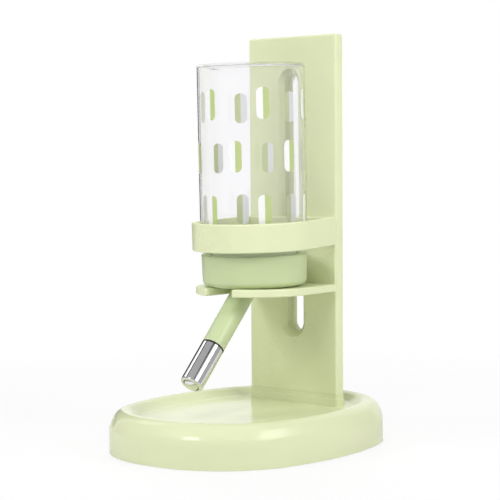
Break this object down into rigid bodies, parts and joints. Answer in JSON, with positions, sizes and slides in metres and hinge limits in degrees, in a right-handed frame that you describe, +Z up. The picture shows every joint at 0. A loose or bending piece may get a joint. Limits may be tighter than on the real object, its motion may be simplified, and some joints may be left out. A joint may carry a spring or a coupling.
{
  "type": "rabbit water bottle",
  "caption": "Stand-up glass water bottle for a rabbit: oval tray base, slotted upright, sliding holder, angled spout with a lick ball.",
  "frame": {"origin": "on the surface the base stands on, under the middle of the base", "axes": "+Z up, the spout points to -Y and the upright stands at +Y, +X to the right seen from the spout's side"},
  "size_m": [0.1376, 0.1748, 0.2448],
  "materials": {
    "stand_plastic": "moulded, soft gloss, pale green",
    "cap_plastic": "moulded, soft gloss, slightly deeper green",
    "bottle_glass": "clear, printed with short two-tone dashes",
    "tip_steel": "polished stainless steel",
    "spring_steel": "drawn wire",
    "screw_steel": "zinc plated",
    "brass": "turned",
    "rubber": "matte",
    "seal_rubber": "soft silicone"
  },
  "bodies": {
    "stand": {"base_tray": "stand_plastic", "base_feet": "rubber", "upright": "stand_plastic", "upright_screws": "screw_steel"},
    "holder": {"holder_bracket": "stand_plastic", "clamp_bolt": "screw_steel"},
    "clamp": {"clamp_washer": "screw_steel"},
    "knob": {"clamp_knob": "stand_plastic", "knob_insert": "brass"},
    "cap": {"screw_cap": "cap_plastic", "spout_tube": "cap_plastic", "spout_ring_seal": "seal_rubber", "steel_tip": "tip_steel", "tip_seal": "rubber", "valve_spring": "spring_steel", "spring_retainer": "cap_plastic"},
    "seal": {"cap_gasket": "seal_rubber"},
    "glass": {"glass_bottle": "bottle_glass"},
    "ball": {"lick_ball": "tip_steel"}
  },
  "joints": [
    {"name": "holder_slide", "type": "slide", "parent": "stand", "child": "holder", "axis": [0, 0, 1], "range_m": [-0.014, 0.09]},
    {"name": "clamp_release", "type": "slide", "parent": "holder", "child": "clamp", "axis": [0, 1, 0], "range_m": [0, 0.002]},
    {"name": "knob_turn", "type": "hinge", "parent": "clamp", "child": "knob", "pos_m": [0, 0.06, 0.113], "axis": [0, 1, 0], "range_deg": [0, 720]},
    {"name": "bottle_lift", "type": "slide", "parent": "holder", "child": "cap", "axis": [0, -0.0227, 0.9997], "range_m": [0, 0.03]},
    {"name": "bottle_rise", "type": "slide", "parent": "cap", "child": "seal", "axis": [0, -0.0227, 0.9997], "range_m": [0, 0.008]},
    {"name": "bottle_turn", "type": "hinge", "parent": "seal", "child": "glass", "pos_m": [0, 0.0067, 0.09547], "axis": [0, -0.0227, 0.9997], "range_deg": [0, 720]},
    {"name": "ball_push", "type": "slide", "parent": "cap", "child": "ball", "axis": [0, 0.6896, 0.7242], "range_m": [0, 0.0015], "stiffness_N_per_m": 200, "springref_m": -0.0015, "deforming": ["valve_spring"]}
  ],
  "couplings": [
    {"joint": "clamp_release", "follows": "knob_turn", "m_per_rad": 0.00015915},
    {"joint": "bottle_rise", "follows": "bottle_turn", "m_per_rad": 0.00063662}
  ]
}
